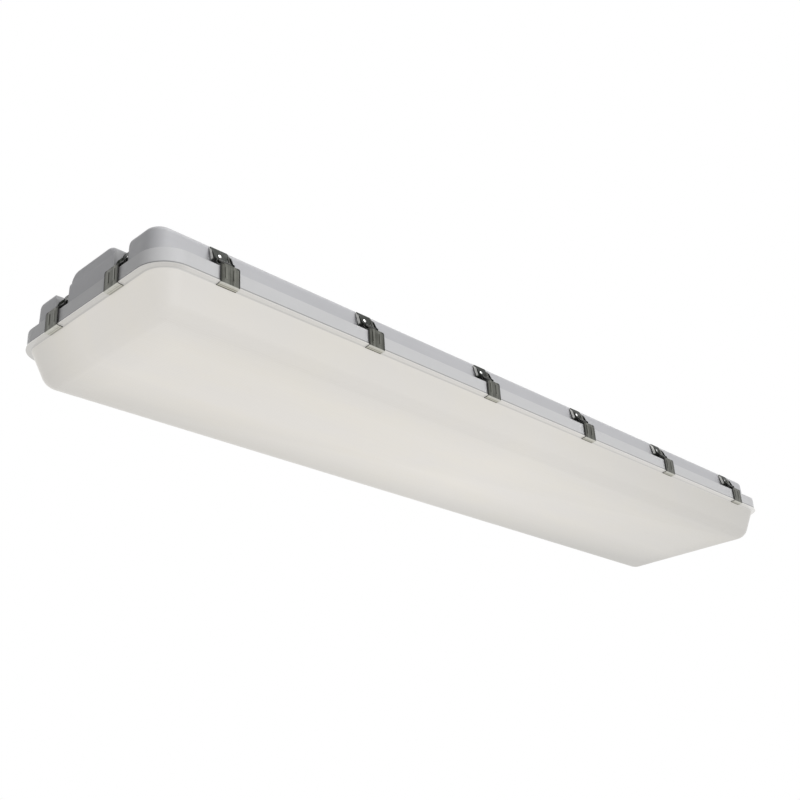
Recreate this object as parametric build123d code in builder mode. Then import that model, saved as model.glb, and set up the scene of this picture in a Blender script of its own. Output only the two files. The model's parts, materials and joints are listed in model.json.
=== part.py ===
from build123d import *
from math import cos, radians, sqrt, tan
import os

# A vapor tight ceiling light: moulded housing, clamped lens, sixteen draw latches, LED gear inside.
# Origin: in the ceiling plane, centred over the housing. X runs along the length and Z points up.
# Heights inside the housing are counted up from the joint between the rim and the lens flange.

os.makedirs("parts", exist_ok=True)

# Housing rim and ledge
housing_length = 1290.0
housing_width = 285.0
rim_corner_radius = 36.0
rim_height = 18.0
wall = 3.0
side_ledge = 19.5
end_ledge = 8.0
draft_angle = 2.0
overrun = 5.0

# Upper body, raised spine and the finger scoops at the ends
body_height = 56.5
body_corner_radius = 20.0
body_edge_round = 8.0
spine_height = 66.0
spine_side_round = 16.0
spine_end_round = 5.0
scoop_width = 28.0
scoop_ledge = 16.5
scoop_lean = 11.0
lobe_corner_round = 12.0

# Seal between the rim and the lens
channel_inset = 3.0
channel_width = 9.0
channel_depth = 8.0
gasket_fit = 0.3
tongue_width = 3.0
tongue_height = 2.1

# Lens
flange_gap = 0.4
flange_thickness = 1.6
flange_overhang = 1.0
lens_wall = 3.0
lens_drop = 49.0
lens_top_inset = 6.0
lens_bottom_inset = 23.0
lens_top_radius = 28.0
lens_bottom_radius = 19.0
lens_edge_round = 22.0

# Where the latches stand
side_latch_count = 6
side_latch_end_gap = 90.0
end_latch_side_gap = 83.0

# Latch: pivot pin over the ledge, link pivot of the hook plate above it
sheet = 1.0
pivot_inset = 7.0
pivot_rise = 4.2
pivot_radius = 1.25
running_clearance = 0.05
link_inset = 2.0
link_rise = 7.8
trunnion_radius = 1.2

# Hook plate
hook_width = 26.0
hook_top = 21.5
hook_stand_off = 1.5
hook_reach = 7.0
hook_seat_gap = 0.3
hook_lip_angle = 5.0
hook_bend_round = 1.5
hook_shoulder_round = 2.5
neck_width = 17.0
neck_start = 6.0
neck_bend_round = 3.0
eye_radius = 2.2
bead_width = 3.0
bead_length = 15.0
bead_spacing = 11.0
bead_height = 0.5

# Lever
lever_width = 25.2
lever_foot_inset = 13.0
lever_foot_height = 27.0
lever_top_inset = 19.0
lever_top_height = 51.5
lever_corner_round = 2.0
lever_hole_radius = 2.0
lever_hole_height = 15.5
lever_eye_radius = 1.3
lever_eye_height = 9.5
lever_slot_width = 1.4
lever_slot_length = 8.0
lever_slot_height = 12.0
lever_slot_spacing = 20.4
ear_shoulder_inset = 12.4
ear_shoulder_height = 42.0
ear_shoulder_round = 2.5
ear_tip_drop = 2.0
ear_radius = 2.6

# Latch bracket, pin and rivets
bracket_gap = 20.2
bracket_length = 9.5
bracket_ear_radius = 2.4
pin_side_play = 0.25
pin_head_radius = 2.0
pin_head_height = 0.6
rivet_radius = 1.6
rivet_head_radius = 2.8
rivet_head_height = 1.2
rivet_depth = 6.0
rivet_spacing = 10.0

# Gear tray and the bosses that carry it
tray_level = 13.0
tray_sheet = 1.0
tray_lip = 9.0
tray_end_gap = 15.0
tray_side_gap = 6.0
tray_corner_radius = 12.0
boss_radius = 5.0
boss_wall_gap = 12.0
boss_columns = 4
boss_end_gap = 97.5
tray_screw_radius = 1.7
tray_screw_depth = 12.0
tray_screw_head_radius = 3.6
tray_screw_head_height = 2.4
screw_clearance = 0.3

# LED boards
board_end_gap = 50.0
board_width = 40.0
board_thickness = 1.6
board_gap = 10.0
board_row_spacing = 112.0
led_count = 24
led_end_gap = 36.25
led_length = 5.0
led_width = 3.0
led_height = 0.7
connector_length = 12.0
connector_width = 8.0
connector_height = 4.0
board_screw_radius = 1.5
board_screw_head_radius = 2.8
board_screw_head_height = 1.8
board_screw_stub = 0.6
board_screw_end_gap = 25.0
board_screw_side_gap = 5.0

# Drivers and terminal block
driver_end_gap = 295.0
driver_middle_gap = 100.0
driver_width = 60.0
driver_height = 32.0
driver_round = 3.0
driver_tab = 20.0
driver_tab_thickness = 1.2
driver_screw_spacing = 40.0
driver_screw_radius = 2.0
driver_screw_head_radius = 4.0
driver_screw_head_height = 2.4
driver_screw_stub = 2.0
terminal_length = 24.0
terminal_width = 46.0
terminal_height = 18.0
terminal_round = 1.0
terminal_end_gap = 165.0
terminal_poles = 3
terminal_pole_pitch = 14.0
terminal_entry_radius = 2.4
terminal_entry_depth = 6.0
lower_entry_height = 6.0
upper_entry_height = 13.0
driver_entry_height = 9.0
peg_radius = 2.0
peg_length = 2.0
peg_spacing = 24.0

# Wires inside the housing
wire_radius = 1.2
wire_pitch = 3.6
wire_bend_radius = 9.0
wire_drop_bend_radius = 4.0
wire_run = 33.0
wire_side_way = 36.5
link_wire_inset = 8.0
led_wire_offset = 16.0
led_wire_height = 11.0
grommet_radius = 6.0
grommet_x = 15.0
grommet_y = 28.0

# Ceiling brackets
bracket_end_gap = 245.0
strap_sheet = 2.0
strap_width = 41.0
strap_clear = 8.0
strap_edge_gap = 36.0
strap_foot = 24.0
strap_bend_round = 3.0
slot_radius = 3.5
slot_length = 20.0
slot_spread = 0.4
rod_hole_radius = 4.5
rod_hole_inset = 17.0
bolt_radius = 3.0
bolt_clearance = 0.3
bolt_head_flats = 10.0
bolt_head_height = 4.0
weld_nut_radius = 5.5
weld_nut_height = 5.0
bolt_seal_radius = 8.0
bolt_seal_thickness = 1.5

# Conduit hub at the +X end
hub_height = 38.0
hub_pad_radius = 19.0
hub_pad_proud = 2.0
hub_pad_back = 5.0
hub_hole_clearance = 0.1
hub_neck_radius = 11.0
hub_neck_spare = 2.0
hub_body_radius = 14.5
hub_body_length = 20.0
hub_hex_length = 9.0
hub_hex_flats = 32.0
hub_entry_radius = 9.9
hub_entry_depth = 16.0
hub_way_radius = 8.5
hub_seal_radius = 16.0
hub_seal_thickness = 2.0
locknut_flats = 30.0
locknut_thickness = 4.0

# Levels and places that several pieces share
joint_depth = spine_height + strap_clear + strap_sheet
half_length = housing_length / 2
half_width = housing_width / 2
roof_level = body_height - wall
drift = tan(radians(draft_angle))
flange_bottom = flange_gap + flange_thickness
pivot_point = (pivot_inset, rim_height + pivot_rise)
link_point = (pivot_inset + link_inset, rim_height + pivot_rise + link_rise)
tray_bottom = tray_level - tray_sheet
board_bottom = tray_bottom - board_thickness
side_latch_pitch = (housing_length - 2 * side_latch_end_gap) / (side_latch_count - 1)
end_latch_spacing = housing_width - 2 * end_latch_side_gap
spine_width = end_latch_spacing - scoop_width
boss_pitch = (housing_length - 2 * boss_end_gap) / (boss_columns - 1)
board_length = (housing_length - 2 * board_end_gap - board_gap) / 2
board_x = (board_gap + board_length) / 2
led_pitch = (board_length - 2 * led_end_gap) / (led_count - 1)
driver_end = half_length - driver_end_gap
driver_length = driver_end - driver_middle_gap / 2
driver_spacing = driver_length + driver_middle_gap
terminal_x = half_length - terminal_end_gap
bracket_spacing = housing_length - 2 * bracket_end_gap
strap_foot_y = half_width - side_ledge - strap_edge_gap
strap_web = 2 * strap_foot_y - strap_foot
slot_spacing = slot_spread * strap_web
rod_hole_spacing = strap_web - 2 * rod_hole_inset
hub_face = half_length - end_ledge + hub_pad_proud
hub_back = half_length - end_ledge - hub_pad_back


def level(height):
    """Horizontal plane at a height above the joint between rim and lens."""
    return Plane.XY.offset(height - joint_depth)


def across(position):
    """Plane square to X; its own axes are Y and the height above the joint."""
    return Plane(origin=(position, 0, -joint_depth), x_dir=(0, 1, 0), z_dir=(1, 0, 0))


def along(position):
    """Plane square to Y; its own axes are X and the height above the joint."""
    return Plane(origin=(0, position, -joint_depth), x_dir=(1, 0, 0), z_dir=(0, -1, 0))


def on_hub(position):
    """Plane square to the hub's axis."""
    return Plane(origin=(position, 0, hub_height - joint_depth), x_dir=(0, 1, 0), z_dir=(1, 0, 0))


def write(piece, name):
    """Label a finished piece and write it under its own name."""
    piece.label = name
    export_step(piece, f"parts/{name}.step")


def rim_outline(length_inset, width_inset, radius):
    """Rounded rectangle, drawn inside the rim's outline by the two insets."""
    RectangleRounded(housing_length - 2 * length_inset, housing_width - 2 * width_inset, radius)


def rim_ring(inset, width):
    """Band that follows the rim at an even distance inside it."""
    rim_outline(inset, inset, rim_corner_radius - inset)
    inner = inset + width
    RectangleRounded(
        housing_length - 2 * inner, housing_width - 2 * inner, rim_corner_radius - inner, mode=Mode.SUBTRACT
    )


def latch_places():
    """Places of the latches, anticlockwise from the -X end of the -Y side."""
    sides = [(index - (side_latch_count - 1) / 2) * side_latch_pitch for index in range(side_latch_count)]
    ends = [-end_latch_spacing / 2, end_latch_spacing / 2]
    places = [Location((x, -half_width, -joint_depth)) for x in sides]
    places += [Location((half_length, y, -joint_depth), (0, 0, 90)) for y in ends]
    places += [Location((-x, half_width, -joint_depth), (0, 0, 180)) for x in sides]
    places += [Location((-half_length, -y, -joint_depth), (0, 0, -90)) for y in ends]
    return places


def body_block(inward):
    """Upper body with its spine; with an inward step, the hollow inside that body."""
    bottom = rim_height
    top = body_height - inward
    spine_end = end_ledge + inward + (top - bottom) * drift
    spine_top = spine_height - inward
    with BuildPart() as spine:
        with BuildSketch(across(spine_end - half_length)) as section:
            with Locations((0, (spine_top + bottom) / 2)):
                Rectangle(spine_width - 2 * inward, spine_top - bottom)
            fillet(section.vertices().group_by(Axis.Y)[-1], spine_side_round - inward)
        extrude(amount=housing_length - 2 * spine_end)
        ends = spine.faces().filter_by(Axis.X).edges()
        fillet(ends - ends.group_by(Axis.Z)[0], spine_end_round - inward)
    with BuildPart() as block:
        with BuildSketch(level(bottom)):
            rim_outline(end_ledge + inward, side_ledge + inward, body_corner_radius - inward)
        extrude(amount=top - bottom, taper=draft_angle)
        fillet(block.faces().sort_by(Axis.Z)[-1].edges(), body_edge_round - inward)
        add(spine.part)
    return block.part


def scoop_block(outward):
    """Finger scoops behind the end latches; with an outward step, the scoops with their wall."""
    width = scoop_width + 2 * outward
    top = spine_height + overrun
    flare = lobe_corner_round - outward
    shoulder = body_height - outward
    foot = scoop_ledge + outward - half_length
    with BuildPart() as scoops:
        with BuildSketch(across(-half_length - overrun)) as section:
            with Locations((end_latch_spacing / 2, (top + rim_height) / 2)):
                Rectangle(width, top - rim_height)
            with Locations((end_latch_spacing / 2 + flare / 2, (top + shoulder) / 2)):
                Rectangle(width + flare, top - shoulder)
            inner_corner = section.vertices().filter_by_position(Axis.Y, rim_height + wall, top - wall)
            fillet(inner_corner.sort_by(Axis.X)[0], flare)
            mirror(about=Plane.YZ)
        extrude(amount=housing_length + 2 * overrun)
        with BuildSketch(along(half_width)):
            with BuildLine():
                Polyline(
                    (-half_length - overrun, rim_height),
                    (foot, rim_height),
                    (foot + scoop_lean, top),
                    (-half_length - overrun, top),
                    close=True,
                )
            make_face()
            mirror(about=Plane.YZ)
        extrude(amount=housing_width, mode=Mode.INTERSECT)
    return scoops.part


def build_housing():
    """Moulded case: rim with a gasket channel, drafted body, spine, scoops, bosses and hub pad."""
    outer = body_block(0)
    hollow = body_block(wall)
    outer_scoops = scoop_block(0)
    inner_scoops = scoop_block(wall)
    rivets = rivet_pair()
    boss_y = 2 * (half_width - side_ledge - wall - boss_wall_gap)
    with BuildPart() as housing:
        add(outer)
        add(outer_scoops, mode=Mode.SUBTRACT)
        with BuildSketch(on_hub(hub_back)):
            Circle(hub_pad_radius)
        extrude(amount=hub_face - hub_back)
        with BuildSketch(level(0)):
            rim_outline(0, 0, rim_corner_radius)
        extrude(amount=rim_height)
        add(hollow - inner_scoops, mode=Mode.SUBTRACT)
        with BuildSketch(level(0)):
            rim_outline(scoop_ledge + wall, side_ledge + wall, body_corner_radius - wall)
        extrude(amount=rim_height, mode=Mode.SUBTRACT)
        with BuildSketch(level(0)):
            rim_ring(channel_inset, channel_width)
        extrude(amount=channel_depth, mode=Mode.SUBTRACT)
        with BuildSketch(on_hub(hub_back)):
            Circle(hub_pad_radius)
        extrude(amount=wall)
        with BuildSketch(on_hub(hub_back - wall)):
            Circle(hub_neck_radius + hub_hole_clearance)
        extrude(amount=hub_pad_radius, mode=Mode.SUBTRACT)
        with BuildSketch(level(tray_level)):
            with GridLocations(boss_pitch, boss_y, boss_columns, 2):
                Circle(boss_radius)
        extrude(amount=roof_level - tray_level + wall / 2)
        with BuildSketch(level(tray_level)):
            with GridLocations(boss_pitch, boss_y, boss_columns, 2):
                Circle(tray_screw_radius)
        extrude(amount=tray_screw_depth, mode=Mode.SUBTRACT)
        with BuildSketch(level(roof_level)):
            with GridLocations(bracket_spacing, 2 * strap_foot_y, 2, 2):
                Circle(bolt_radius + bolt_clearance)
        extrude(amount=wall, mode=Mode.SUBTRACT)
        for place in latch_places():
            add(rivets.moved(place), mode=Mode.SUBTRACT)
    return housing.part


def build_gasket():
    """Foam strip that fills the channel down to the lens tongue."""
    with BuildPart() as gasket:
        with BuildSketch(level(tongue_height - flange_gap)):
            rim_ring(channel_inset + gasket_fit, channel_width - 2 * gasket_fit)
        extrude(amount=channel_depth - tongue_height + flange_gap)
    return gasket.part


def lens_bowl(inward):
    """Bowl of the lens; with an inward step, the hollow inside that bowl."""
    slope = (lens_bottom_inset - lens_top_inset) / (lens_drop - flange_bottom)
    wall_run = inward * sqrt(1 + slope * slope)
    top_inset = lens_top_inset + wall_run
    floor_inset = lens_bottom_inset + wall_run - inward * slope
    with BuildPart() as bowl:
        with BuildSketch(level(-flange_bottom)):
            rim_outline(top_inset, top_inset, lens_top_radius - inward)
        with BuildSketch(level(inward - lens_drop)):
            rim_outline(floor_inset, floor_inset, lens_bottom_radius - inward)
        loft()
        fillet(bowl.faces().sort_by(Axis.Z)[0].edges(), lens_edge_round - inward)
        with BuildSketch(level(-flange_bottom)):
            rim_outline(top_inset, top_inset, lens_top_radius - inward)
        extrude(amount=flange_thickness)
    return bowl.part


def build_lens():
    """Diffuser: flange with a sealing tongue and a deep bowl with a rounded foot."""
    bowl = lens_bowl(0)
    hollow = lens_bowl(lens_wall)
    with BuildPart() as lens:
        with BuildSketch(level(-flange_bottom)):
            rim_outline(-flange_overhang, -flange_overhang, rim_corner_radius + flange_overhang)
        extrude(amount=flange_thickness)
        add(bowl)
        add(hollow, mode=Mode.SUBTRACT)
        with BuildSketch(level(-flange_gap)):
            rim_ring(channel_inset + (channel_width - tongue_width) / 2, tongue_width)
        extrude(amount=tongue_height)
    return lens.part


def build_hook():
    """Ribbed plate with a lip under the lens flange and a neck up to the link pivot."""
    plate_line = -hook_stand_off - sheet / 2
    lip_slope = tan(radians(hook_lip_angle))
    lip_line = -flange_bottom - hook_seat_gap - sheet / 2 / cos(radians(hook_lip_angle))
    lip_end = hook_reach - hook_stand_off
    with BuildPart() as hook:
        with BuildSketch(Plane.YZ):
            with BuildLine():
                FilletPolyline(
                    (lip_end, lip_line - lip_slope * (lip_end + flange_overhang)),
                    (plate_line, lip_line - lip_slope * (plate_line + flange_overhang)),
                    (plate_line, rim_height / 2),
                    radius=hook_bend_round,
                )
            trace(line_width=sheet)
        extrude(amount=hook_width / 2, both=True)
        with BuildSketch(Plane.XZ.offset(hook_stand_off)) as plate:
            with Locations((0, hook_top / 2)):
                Rectangle(hook_width, hook_top)
            fillet(plate.vertices().group_by(Axis.Y)[-1], hook_shoulder_round)
        extrude(amount=sheet)
        with BuildSketch(Plane.XZ.offset(hook_stand_off + sheet)):
            with Locations((0, hook_top / 2)):
                with GridLocations(bead_spacing, 0, 2, 1):
                    SlotOverall(bead_length, bead_width, rotation=90)
        extrude(amount=bead_height)
        with BuildSketch(Plane.YZ):
            with BuildLine():
                FilletPolyline(
                    (plate_line, hook_top - neck_start),
                    (plate_line, hook_top - sheet / 2),
                    link_point,
                    radius=neck_bend_round,
                )
            trace(line_width=sheet)
            with Locations(link_point):
                Circle(eye_radius)
        extrude(amount=neck_width / 2, both=True)
        with BuildSketch(Plane.YZ):
            with Locations(link_point):
                Circle(trunnion_radius)
        extrude(amount=(lever_width + sheet) / 2, both=True)
    return hook.part


def build_lever():
    """Channel-shaped lever: a plate against the body, two ears on the pivots."""
    rise = lever_top_height - lever_foot_height
    lean = lever_top_inset - lever_foot_inset
    length = sqrt(rise * rise + lean * lean)
    ear_tip_height = lever_top_height - ear_tip_drop
    ear_tip_inset = lever_top_inset - lean * ear_tip_drop / rise
    face = Plane(origin=(0, lever_foot_inset, lever_foot_height), x_dir=(1, 0, 0), z_dir=(0, -rise, lean))
    with BuildPart() as lever:
        with BuildSketch(Plane.YZ.offset(lever_width / 2 - sheet)) as ear:
            with BuildLine():
                Polyline(
                    (pivot_point[0] - ear_radius, pivot_point[1]),
                    (pivot_point[0] + ear_radius, pivot_point[1]),
                    (lever_foot_inset + sheet / 2, lever_foot_height),
                    (ear_tip_inset + sheet / 2, ear_tip_height),
                    (ear_shoulder_inset, ear_shoulder_height),
                    close=True,
                )
            make_face()
            shoulder = (ear_shoulder_inset, ear_shoulder_height)
            fillet(ear.vertices().sort_by_distance(shoulder)[0], ear_shoulder_round)
            with Locations(pivot_point, link_point):
                Circle(ear_radius)
            with Locations(pivot_point):
                Circle(pivot_radius + running_clearance, mode=Mode.SUBTRACT)
            with Locations(link_point):
                Circle(trunnion_radius + running_clearance, mode=Mode.SUBTRACT)
        extrude(amount=sheet)
        mirror(about=Plane.YZ)
        with BuildSketch(face) as plate:
            with Locations((0, length / 2)):
                Rectangle(lever_width, length)
            fillet(plate.vertices().group_by(Axis.Y)[-1], lever_corner_round)
            with Locations((0, lever_hole_height)):
                Circle(lever_hole_radius, mode=Mode.SUBTRACT)
            with Locations((0, lever_eye_height)):
                Circle(lever_eye_radius, mode=Mode.SUBTRACT)
            with Locations((0, lever_slot_height)):
                with GridLocations(lever_slot_spacing, 0, 2, 1):
                    SlotOverall(lever_slot_length, lever_slot_width, rotation=90, mode=Mode.SUBTRACT)
        extrude(amount=-sheet)
    return lever.part


def build_latch_bracket():
    """Small riveted bracket with two ears for the pivot pin."""
    with BuildPart() as bracket:
        with BuildSketch(Plane.XY.offset(rim_height)):
            with Locations((0, pivot_inset)):
                Rectangle(bracket_gap + 2 * sheet, bracket_length)
                with GridLocations(rivet_spacing, 0, 2, 1):
                    Circle(rivet_radius, mode=Mode.SUBTRACT)
        extrude(amount=sheet)
        with BuildSketch(Plane.YZ.offset(bracket_gap / 2)):
            with Locations((pivot_inset, rim_height + pivot_rise / 2)):
                Rectangle(2 * bracket_ear_radius, pivot_rise)
            with Locations(pivot_point):
                Circle(bracket_ear_radius)
                Circle(pivot_radius, mode=Mode.SUBTRACT)
        extrude(amount=sheet)
        mirror(about=Plane.YZ)
    return bracket.part


def build_latch_pin():
    """Headed pin that the lever turns on."""
    with BuildPart() as pin:
        with BuildSketch(Plane.YZ):
            with Locations(pivot_point):
                Circle(pivot_radius)
        extrude(amount=lever_width / 2 + pin_side_play, both=True)
        with BuildSketch(Plane.YZ.offset(lever_width / 2 + pin_side_play)):
            with Locations(pivot_point):
                Circle(pin_head_radius)
        extrude(amount=pin_head_height)
        mirror(about=Plane.YZ)
    return pin.part


def rivet_pair():
    """The two blind rivets of one latch bracket."""
    with BuildPart() as rivets:
        with BuildSketch(Plane.XY.offset(rim_height - rivet_depth)):
            with Locations((0, pivot_inset)):
                with GridLocations(rivet_spacing, 0, 2, 1):
                    Circle(rivet_radius)
        extrude(amount=rivet_depth + sheet)
        with BuildSketch(Plane.XY.offset(rim_height + sheet)):
            with Locations((0, pivot_inset)):
                with GridLocations(rivet_spacing, 0, 2, 1):
                    Circle(rivet_head_radius)
        extrude(amount=rivet_head_height)
        fillet(rivets.edges().group_by(Axis.Z)[-1], rivet_head_height / 2)
    return rivets.part


def write_latches():
    """Write every lever and hook as its own piece, and the fixed parts as groups."""
    hook = build_hook()
    lever = build_lever()
    places = latch_places()
    for number, place in enumerate(places, start=1):
        write(hook.moved(place), f"latch_hook_{number:02d}")
        write(lever.moved(place), f"latch_lever_{number:02d}")
    fixed = {
        "latch_brackets": build_latch_bracket(),
        "latch_pins": build_latch_pin(),
        "latch_rivets": rivet_pair(),
    }
    for name, piece in fixed.items():
        with BuildPart() as group:
            add([piece.moved(place) for place in places])
        write(group.part, name)


def tray_screw_spots():
    """Grid of the tray screws, under the housing's bosses."""
    return GridLocations(
        boss_pitch, 2 * (half_width - side_ledge - wall - boss_wall_gap), boss_columns, 2
    )


def board_spots():
    """Middles of the four LED boards."""
    return GridLocations(2 * board_x, board_row_spacing, 2, 2)


def board_screw_spots():
    """Four screws on one board."""
    return GridLocations(
        board_length - 2 * board_screw_end_gap, board_width - 2 * board_screw_side_gap, 2, 2
    )


def driver_screw_spots():
    """Four screws on one driver."""
    return GridLocations(driver_length + driver_tab, driver_screw_spacing, 2, 2)


def build_tray():
    """White steel pan, open downwards, that carries all the electrical gear."""
    length_inset = scoop_ledge + wall + tray_end_gap
    width_inset = side_ledge + wall + tray_side_gap
    with BuildPart() as tray:
        with BuildSketch(level(tray_level - tray_lip)):
            rim_outline(length_inset, width_inset, tray_corner_radius)
        extrude(amount=tray_lip)
        with BuildSketch(level(tray_level - tray_lip)):
            rim_outline(length_inset + tray_sheet, width_inset + tray_sheet, tray_corner_radius - tray_sheet)
        extrude(amount=tray_lip - tray_sheet, mode=Mode.SUBTRACT)
        with BuildSketch(level(tray_bottom)):
            with tray_screw_spots():
                Circle(tray_screw_radius + screw_clearance)
            with board_spots():
                with board_screw_spots():
                    Circle(board_screw_radius + screw_clearance)
            with GridLocations(driver_spacing, 0, 2, 1):
                with driver_screw_spots():
                    Circle(driver_screw_radius + screw_clearance)
            with Locations((terminal_x, 0)):
                with GridLocations(0, peg_spacing, 1, 2):
                    Circle(peg_radius + screw_clearance)
            with GridLocations(2 * grommet_x, 2 * grommet_y, 2, 2):
                Circle(grommet_radius)
        extrude(amount=tray_sheet, mode=Mode.SUBTRACT)
    return tray.part


def build_tray_screws():
    """Self-tapping screws up through the tray into the bosses."""
    with BuildPart() as screws:
        with BuildSketch(level(tray_bottom - tray_screw_head_height)):
            with tray_screw_spots():
                Circle(tray_screw_head_radius)
        extrude(amount=tray_screw_head_height)
        fillet(screws.edges().group_by(Axis.Z)[0], tray_screw_head_height / 2)
        with BuildSketch(level(tray_bottom)):
            with tray_screw_spots():
                Circle(tray_screw_radius)
        extrude(amount=tray_sheet + tray_screw_depth)
    return screws.part


def build_board():
    """One LED board at the middle of its own place."""
    with BuildPart() as board:
        with BuildSketch(level(board_bottom)):
            Rectangle(board_length, board_width)
            with board_screw_spots():
                Circle(board_screw_radius + screw_clearance, mode=Mode.SUBTRACT)
        extrude(amount=board_thickness)
    return board.part


def build_led_packages():
    """All the light sources, in a row along each board."""
    with BuildPart() as packages:
        with BuildSketch(level(board_bottom - led_height)):
            with board_spots():
                with GridLocations(led_pitch, 0, led_count, 1):
                    Rectangle(led_length, led_width)
        extrude(amount=led_height)
    return packages.part


def build_connectors():
    """Wire connectors at the inner ends of the boards."""
    with BuildPart() as connectors:
        with BuildSketch(level(board_bottom - connector_height)):
            with GridLocations(2 * grommet_x, board_row_spacing, 2, 2):
                Rectangle(connector_length, connector_width)
        extrude(amount=connector_height)
    return connectors.part


def build_board_screws():
    """Screws that hold the boards up against the tray."""
    with BuildPart() as screws:
        with BuildSketch(level(board_bottom - board_screw_head_height)):
            with board_spots():
                with board_screw_spots():
                    Circle(board_screw_head_radius)
        extrude(amount=board_screw_head_height)
        fillet(screws.edges().group_by(Axis.Z)[0], board_screw_head_height / 2)
        with BuildSketch(level(board_bottom)):
            with board_spots():
                with board_screw_spots():
                    Circle(board_screw_radius)
        extrude(amount=board_thickness + tray_sheet + board_screw_stub)
    return screws.part


def build_driver():
    """One LED driver: closed case on a plate with two screw tabs."""
    with BuildPart() as driver:
        with BuildSketch(level(tray_level)):
            Rectangle(driver_length, driver_width)
        extrude(amount=driver_height)
        fillet(driver.edges().filter_by(Axis.X).group_by(Axis.Z)[-1], driver_round)
        with BuildSketch(level(tray_level)):
            Rectangle(driver_length + 2 * driver_tab, driver_width)
            with driver_screw_spots():
                Circle(driver_screw_radius + screw_clearance, mode=Mode.SUBTRACT)
        extrude(amount=driver_tab_thickness)
    return driver.part


def build_driver_screws():
    """Screws through the driver tabs into the tray."""
    head_level = tray_level + driver_tab_thickness
    with BuildPart() as screws:
        with BuildSketch(level(head_level)):
            with GridLocations(driver_spacing, 0, 2, 1):
                with driver_screw_spots():
                    Circle(driver_screw_head_radius)
        extrude(amount=driver_screw_head_height)
        fillet(screws.edges().group_by(Axis.Z)[-1], driver_screw_head_height / 2)
        with BuildSketch(level(tray_bottom - driver_screw_stub)):
            with GridLocations(driver_spacing, 0, 2, 1):
                with driver_screw_spots():
                    Circle(driver_screw_radius)
        extrude(amount=head_level - tray_bottom + driver_screw_stub)
    return screws.part


def build_terminal_block():
    """Supply terminal block on two snap pegs, with two rows of wire entries."""
    with BuildPart() as block:
        with BuildSketch(level(tray_level)):
            with Locations((terminal_x, 0)):
                Rectangle(terminal_length, terminal_width)
        extrude(amount=terminal_height)
        fillet(block.edges().group_by(Axis.Z)[-1], terminal_round)
        with BuildSketch(level(tray_level)):
            with Locations((terminal_x, 0)):
                with GridLocations(0, peg_spacing, 1, 2):
                    Circle(peg_radius)
        extrude(amount=-tray_sheet - peg_length)
        with BuildSketch(across(terminal_x - terminal_length / 2)):
            for height in (lower_entry_height, upper_entry_height):
                with Locations((0, tray_level + height)):
                    with GridLocations(terminal_pole_pitch, 0, terminal_poles, 1):
                        Circle(terminal_entry_radius)
        extrude(amount=terminal_entry_depth, mode=Mode.SUBTRACT)
    return block.part


def wire_along(points, bend_radius):
    """One insulated wire: straight runs joined by tangent arcs."""
    with BuildPart() as wire:
        with BuildLine() as route:
            FilletPolyline(*points, radius=bend_radius)
        with BuildSketch(Plane(origin=route.line @ 0, z_dir=route.line % 0)):
            Circle(wire_radius)
        sweep(path=route.line)
    return wire.part


def build_supply_wires():
    """Wires from the terminal block to the two drivers."""
    entry = terminal_x - terminal_length / 2 + terminal_entry_depth
    mouth = entry - wire_run
    low = tray_level - joint_depth + lower_entry_height
    high = tray_level - joint_depth + upper_entry_height
    driver_entry = tray_level - joint_depth + driver_entry_height
    wires = []
    for pole in (-1, 0, 1):
        start_y = pole * terminal_pole_pitch
        end_y = pole * wire_pitch
        wires.append(
            wire_along(
                [
                    (entry, start_y, low),
                    (mouth, start_y, low),
                    (mouth - wire_run, end_y, driver_entry),
                    (driver_end, end_y, driver_entry),
                ],
                wire_bend_radius,
            )
        )
        way = high + pole * wire_pitch
        wires.append(
            wire_along(
                [
                    (entry, start_y, high),
                    (mouth, start_y, high),
                    (mouth - wire_run, wire_side_way, way),
                    (wire_side_way / 2, wire_side_way, way),
                    (-wire_side_way / 2, link_wire_inset, way),
                    (driver_length / 2 - driver_spacing / 2, link_wire_inset, way),
                ],
                wire_bend_radius,
            )
        )
    with BuildPart() as group:
        add(wires)
    return group.part


def build_led_wires():
    """Wires from the drivers, down through the tray, to the board connectors."""
    driver_inner = (driver_spacing - driver_length) / 2
    high = tray_level - joint_depth + led_wire_height
    low = board_bottom - joint_depth - connector_height / 2
    connector_face = (board_row_spacing - connector_width) / 2
    turn = (driver_inner + grommet_x) / 2
    wires = []
    for end in (-1, 1):
        for side in (-1, 1):
            wires.append(
                wire_along(
                    [
                        (end * driver_inner, side * led_wire_offset, high),
                        (end * turn, side * led_wire_offset, high),
                        (end * grommet_x, side * grommet_y, high - wire_pitch),
                        (end * grommet_x, side * grommet_y, low),
                        (end * grommet_x, side * connector_face, low),
                    ],
                    wire_drop_bend_radius,
                )
            )
    with BuildPart() as group:
        add(wires)
    return group.part


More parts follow.
